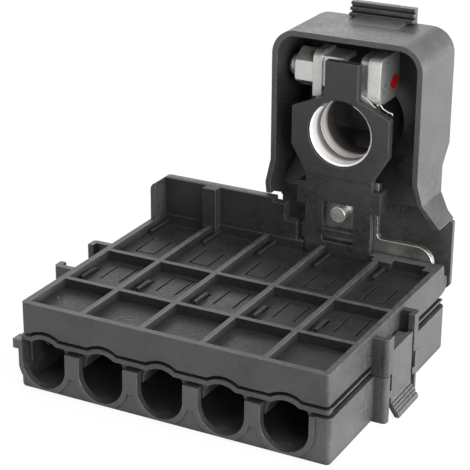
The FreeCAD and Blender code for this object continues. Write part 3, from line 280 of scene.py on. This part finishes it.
ROLLED, EVEN = (1.0, 1.0, 0.08), (1.0, 1.0, 1.0)
tin = plated("tin_plate", (0.50, 0.49, 0.46, 1), (0.66, 0.65, 0.61, 1), 0.30, ROLLED, relief=0.05).material
finish_node("busbar", tin)
for number in range(1, 6):
    finish_node("fuse_link_%d" % number, tin)

BORE_MIDDLE, BORE_REACH, BORE_FRONT, BORE_LENGTH = (13.1, 59.6), 10.7, 36.5, 16.5
BORE_BRIGHT, BORE_SHADE_BROWN, RING_OUTSIDE_SHADE = (0.93, 0.92, 0.90, 1), (0.055, 0.034, 0.030, 1), (0.012, 0.012, 0.012, 1)
RING_SHADE_REACH, RING_SHADE_FOOT, RING_SHADE_TOP = 12.2, 47.0, 68.0
BORE_SHADE_STOPS = ((0.0, 0.0), (0.18, 0.0), (0.28, 0.75), (0.52, 0.9), (0.53, 0.0), (0.60, 0.0), (0.68, 0.9), (1.0, 0.97))
cast = plated("cast_clamp", (0.46, 0.455, 0.44, 1), (0.66, 0.65, 0.63, 1), 0.42, EVEN)
spot = cast.add("ShaderNodeSeparateXYZ", {}, {"Vector": cast.place(1000.0)})
across, height = spot.out("X") - BORE_MIDDLE[0], spot.out("Z")
upward = height - BORE_MIDDLE[1]
reach = across * across + upward * upward
bore = reach < BORE_REACH ** 2
# The ring's outside beside the plate is painted near black and not metallic: painted shade.
ring_outside_shaded = (reach > RING_SHADE_REACH ** 2) * (height < RING_SHADE_TOP) * (height > RING_SHADE_FOOT)
depth = (spot.out("Y") - BORE_FRONT) * (1 / BORE_LENGTH)
# The bore is painted darker along its depth as shade and reflection of the dark cover: dark in the groove and
# towards the back.
bore_shade = cast.add("ShaderNodeValToRGB", {"stops": [(place, (share, share, share, 1)) for place, share in BORE_SHADE_STOPS]},
                   {"Fac": depth})
turned_bright = cast.blend(bore, cast.so_far("Base Color"), BORE_BRIGHT)
shaded_bore = cast.blend(bore_shade * bore, turned_bright, BORE_SHADE_BROWN)
cast.surface(Base_Color=cast.blend(ring_outside_shaded, shaded_bore, RING_OUTSIDE_SHADE), Metallic=(0.8 - bore * 0.5) * (1.0 - ring_outside_shaded))
for node in ("battery_clamp", "clamp_saddle"):
    finish_node(node, cast.material)


# The saddle between the clamp's ears ends in a small bent tab under the bolt's head, which keeps the
# bolt from turning. The tab is tinned strip, 1.4 mm thick, and its edges are tumbled round.

TAB_OUTLINE = ((21.8, 68.9), (23.6, 68.9), (24.3, 67.9), (26.0, 67.1), (27.3, 66.8), (27.4, 66.0), (26.0, 65.4),
               (25.1, 64.6), (23.8, 65.5), (22.7, 67.5))
TAB_FRONT, TAB_BACK, TAB_EDGE, SHARP_ANGLE = 39.9, 41.3, 0.3, 0.9
tab = bmesh.new()
outline = tab.faces.new([tab.verts.new((x * MM, TAB_FRONT * MM, z * MM)) for x, z in TAB_OUTLINE])
grown = bmesh.ops.extrude_face_region(tab, geom=[outline])
bmesh.ops.translate(tab, vec=(0, (TAB_BACK - TAB_FRONT) * MM, 0),
                    verts=[v for v in grown["geom"] if isinstance(v, bmesh.types.BMVert)])
bmesh.ops.bevel(tab, geom=[e for e in tab.edges if e.calc_face_angle(0) > SHARP_ANGLE], offset=TAB_EDGE * MM,
                segments=3, profile=0.5, affect="EDGES", material=-1)
link("saddle_tab", tab, tin, "base")


# Screws, nuts, studs and the rivet are steel with bright zinc. A dab of red paint on the end of the
# clamp bolt's head shows that it was tightened, and its tip shows the thread beyond the nut.

ZINC_DARK, ZINC_LIGHT, PAINT_RED = (0.44, 0.44, 0.43, 1), (0.62, 0.62, 0.60, 1), (0.80, 0.010, 0.016, 1)
PAINT_MIDDLE, PAINT_REACH, HEAD_END = (49.6, 73.1), (2.9, 2.1), 23.0
zinc = plated("bright_zinc", ZINC_DARK, ZINC_LIGHT, 0.30, EVEN, 0.75, 0.35).material
for node in ("clamp_nut", "clamp_rivet", "output_studs", "input_studs", "output_nuts", "input_nuts"):
    finish_node(node, zinc)

bolt = plated("bolt_zinc", ZINC_DARK, ZINC_LIGHT, 0.34, EVEN, radius=0.5, relief=0.0)
where = bolt.place(1000.0)
spot = bolt.add("ShaderNodeSeparateXYZ", {}, {"Vector": where})
wobble = bolt.noise(where, 0.6, 2.0, 0.5) - 0.5
across = (spot.out("Y") - PAINT_MIDDLE[0]) * (1 / PAINT_REACH[0])
upward = (spot.out("Z") - PAINT_MIDDLE[1]) * (1 / PAINT_REACH[1])
painted = (1.0 - across * across - upward * upward + wobble * 0.6 > 0.0) * (spot.out("X") > HEAD_END)
bolt.surface(Base_Color=bolt.blend(painted, bolt.so_far("Base Color"), PAINT_RED),
             Metallic=0.55 - painted * 0.55,
             Roughness=bolt.so_far("Roughness") * (1.0 - painted) + painted * 0.22)
finish_node("clamp_bolt", bolt.material)


def thread(name, start, along, radius, pitch, length, material, body):
    """The ridge of a thread, wound on a shank from its start point."""
    sunk, half_foot, crest, steps = 0.05, 0.42 * pitch, 0.16 * pitch, 28
    ridge = bmesh.new()
    along = Vector(along)
    out = along.orthogonal().normalized()
    foot = Vector(start)
    corners = [ridge.verts.new((foot + out * (radius - sunk) + along * side * half_foot) * MM) for side in (-1, 1)]
    corners.append(ridge.verts.new((foot + out * (radius + crest)) * MM))
    for first, second in zip(corners, corners[1:] + corners[:1]):
        ridge.edges.new((first, second))
    turns = length / pitch
    bmesh.ops.spin(ridge, geom=ridge.verts[:] + ridge.edges[:], cent=foot * MM, axis=along,
                   dvec=along * pitch / steps * MM, angle=turns * math.tau, steps=round(turns * steps),
                   use_merge=False)
    bmesh.ops.holes_fill(ridge, edges=ridge.edges[:], sides=3)
    link(name, ridge, material, body)


thread("bolt_thread", (-6.0, 46.2, 74.9), (1, 0, 0), 2.95, 1.0, 2.0, zinc, "base")


# The midi fuses have a dark blue moulded housing, and a clear polycarbonate window snapped in over
# the link. Each is held by two of the nuts.

HOUSING_DARK, HOUSING_LIGHT, HOUSING_EDGE = (0.03, 0.04, 0.07, 1), (0.045, 0.055, 0.09, 1), (0.1, 0.11, 0.14, 1)
housing = moulded("fuse_moulding", HOUSING_DARK, HOUSING_LIGHT, HOUSING_EDGE, 0.4)
window = Finish("clear_window")
window.surface(Base_Color=(0.9, 0.93, 0.95, 1), Roughness=0.05 + window.noise(window.place(), 300.0) * 0.05,
               Transmission_Weight=1.0, IOR=1.49)
for number in range(1, 6):
    finish_node("fuse_housing_%d" % number, housing)
    finish_node("fuse_window_%d" % number, window.material)


# The studio is a white floor and white air without an edge. Gloss and glass see most of both, so the
# metal reads bright, but the light on things comes from the lamps: large soft ones above and behind,
# a low wide one on the right for the right faces, and a small one at the front right.

FLOOR_SHINE, FLOOR_GLOSS, FLOOR_HALF = 0.9, 0.75, 1.6
AIR_GLOSS, AIR_LIGHT, CEILING, WALL_TOP, CEILING_FROM = 0.88, 0.16, 0.25, 0.42, 0.85


def seen_directly(sheet, gloss):
    """1 for the camera and through glass, gloss for reflections, 0 for the light that falls on things."""
    camera_ray = sheet.add("ShaderNodeLightPath", output="Is Camera Ray")
    clear = camera_ray.at_least(camera_ray.out("Is Transmission Ray"))
    return clear.at_least(camera_ray.out("Is Glossy Ray") * gloss)


floor_finish = Finish("studio_floor")
floor_finish.surface(Base_Color=(0.86, 0.86, 0.86, 1), Roughness=0.9)
floor_finish.feed(floor_finish.output.inputs["Surface"], floor_finish.add("ShaderNodeMixShader", {}, {
    0: seen_directly(floor_finish, FLOOR_GLOSS) * FLOOR_SHINE,
    1: Socket(floor_finish, floor_finish.shader.outputs[0]),
    2: floor_finish.add("ShaderNodeEmission", {}, {"Color": (1, 1, 1, 1), "Strength": 1.0}),
}))
bed = bmesh.new()
bmesh.ops.create_grid(bed, x_segments=8, y_segments=8, size=FLOOR_HALF)
floor_mesh = bpy.data.meshes.new("studio_floor")
bed.to_mesh(floor_mesh)
bed.free()
floor_mesh.materials.append(floor_finish.material)
floor = bpy.data.objects.new("studio_floor", floor_mesh)
bpy.context.collection.objects.link(floor)

world = bpy.data.worlds.new("studio_air")
bpy.context.scene.world = world
world.use_nodes = True
air = Sheet(world.node_tree)
aim = air.add("ShaderNodeTexCoord", output="Generated")
facing = air.add("ShaderNodeSeparateXYZ", {}, {"Vector": aim}, output="Z")
darker_up = air.add("ShaderNodeMapRange", {"clamp": True}, {
    "Value": facing, "From Min": WALL_TOP, "From Max": CEILING_FROM, "To Min": 1.0, "To Max": CEILING})
background = world.node_tree.nodes["Background"]
background.inputs["Color"].default_value = (1, 1, 1, 1)
air.feed(background.inputs["Strength"], (seen_directly(air, AIR_GLOSS) * darker_up).at_least(AIR_LIGHT))


def softbox(name, where, target, size, power):
    """A rectangular soft lamp that the camera doesn't see."""
    lamp = bpy.data.lights.new(name, "AREA")
    lamp.shape = "RECTANGLE"
    lamp.size, lamp.size_y = size
    lamp.energy = power
    box = bpy.data.objects.new(name, lamp)
    bpy.context.collection.objects.link(box)
    box.visible_camera = False
    box.location = where
    box.rotation_euler = (Vector(target) - Vector(where)).to_track_quat("-Z", "Y").to_euler()


softbox("soft_top", (0.25, -0.05, 0.95), (0, 0, 0.03), (1.5, 1.2), 16.0)
softbox("soft_right", (0.90, 0.15, 0.10), (0, 0, 0.04), (1.1, 0.18), 17.0)
softbox("soft_back", (-0.50, 0.65, 0.62), (0, 0, 0.03), (0.8, 0.6), 3.0)
softbox("soft_front", (0.80, -0.62, 0.36), (0, 0, 0.06), (0.5, 0.5), 7.0)


# The camera stands where the photograph's stood: to the right of the ports and above them, fitted to
# the object's straight edges. Its focal length is in pixels of the square picture.

AZIMUTH, ELEVATION, ROLL = (math.radians(a) for a in (27.69, 22.34, 0.35))
FOCAL_PIXELS, PICTURE_PIXELS, SENSOR_WIDTH = 1662, 470, 36.0
CAMERA_PLACE, NEAREST = (0.19286, -0.36942, 0.21078), 0.01
back = Vector((math.sin(AZIMUTH) * math.cos(ELEVATION), -math.cos(AZIMUTH) * math.cos(ELEVATION),
               math.sin(ELEVATION)))
level = Vector((math.cos(AZIMUTH), math.sin(AZIMUTH), 0))
rise = back.cross(level)
right = level * math.cos(ROLL) + rise * math.sin(ROLL)
up = rise * math.cos(ROLL) - level * math.sin(ROLL)
lens = bpy.data.cameras.new("camera")
lens.sensor_width = SENSOR_WIDTH
lens.lens = SENSOR_WIDTH * FOCAL_PIXELS / PICTURE_PIXELS
lens.clip_start = NEAREST
camera = bpy.data.objects.new("camera", lens)
bpy.context.collection.objects.link(camera)
camera.matrix_world = Matrix.Translation(CAMERA_PLACE) @ Matrix((right, up, back)).transposed().to_4x4()
bpy.context.scene.camera = camera
bpy.context.scene.view_settings.view_transform = "Standard"
